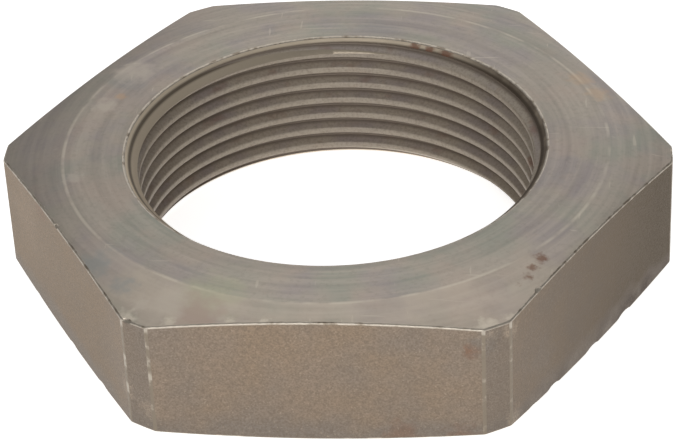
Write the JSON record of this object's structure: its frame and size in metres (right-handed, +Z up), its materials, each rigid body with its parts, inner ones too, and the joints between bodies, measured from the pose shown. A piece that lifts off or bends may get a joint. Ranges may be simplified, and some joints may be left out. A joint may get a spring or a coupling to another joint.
{
  "type": "hex nut",
  "caption": "Large thin hexagon nut of solid steel, both faces crowned and countersunk, with a fine right-hand internal thread that runs right through.",
  "frame": {"origin": "centre of the lower face, on the thread's axis", "axes": "+Z up along the thread's axis, through the upper face; -Y out through the middle of the front flat; +X through the corner at the right"},
  "size_m": [0.1128, 0.1, 0.0242],
  "materials": {
    "steel": "dark grey-brown oxide left from heat treatment and phosphating, satin, worn bright at the edges and thread crests"
  },
  "bodies": {
    "root": {"hex_nut": "steel"}
  },
  "joints": []
}
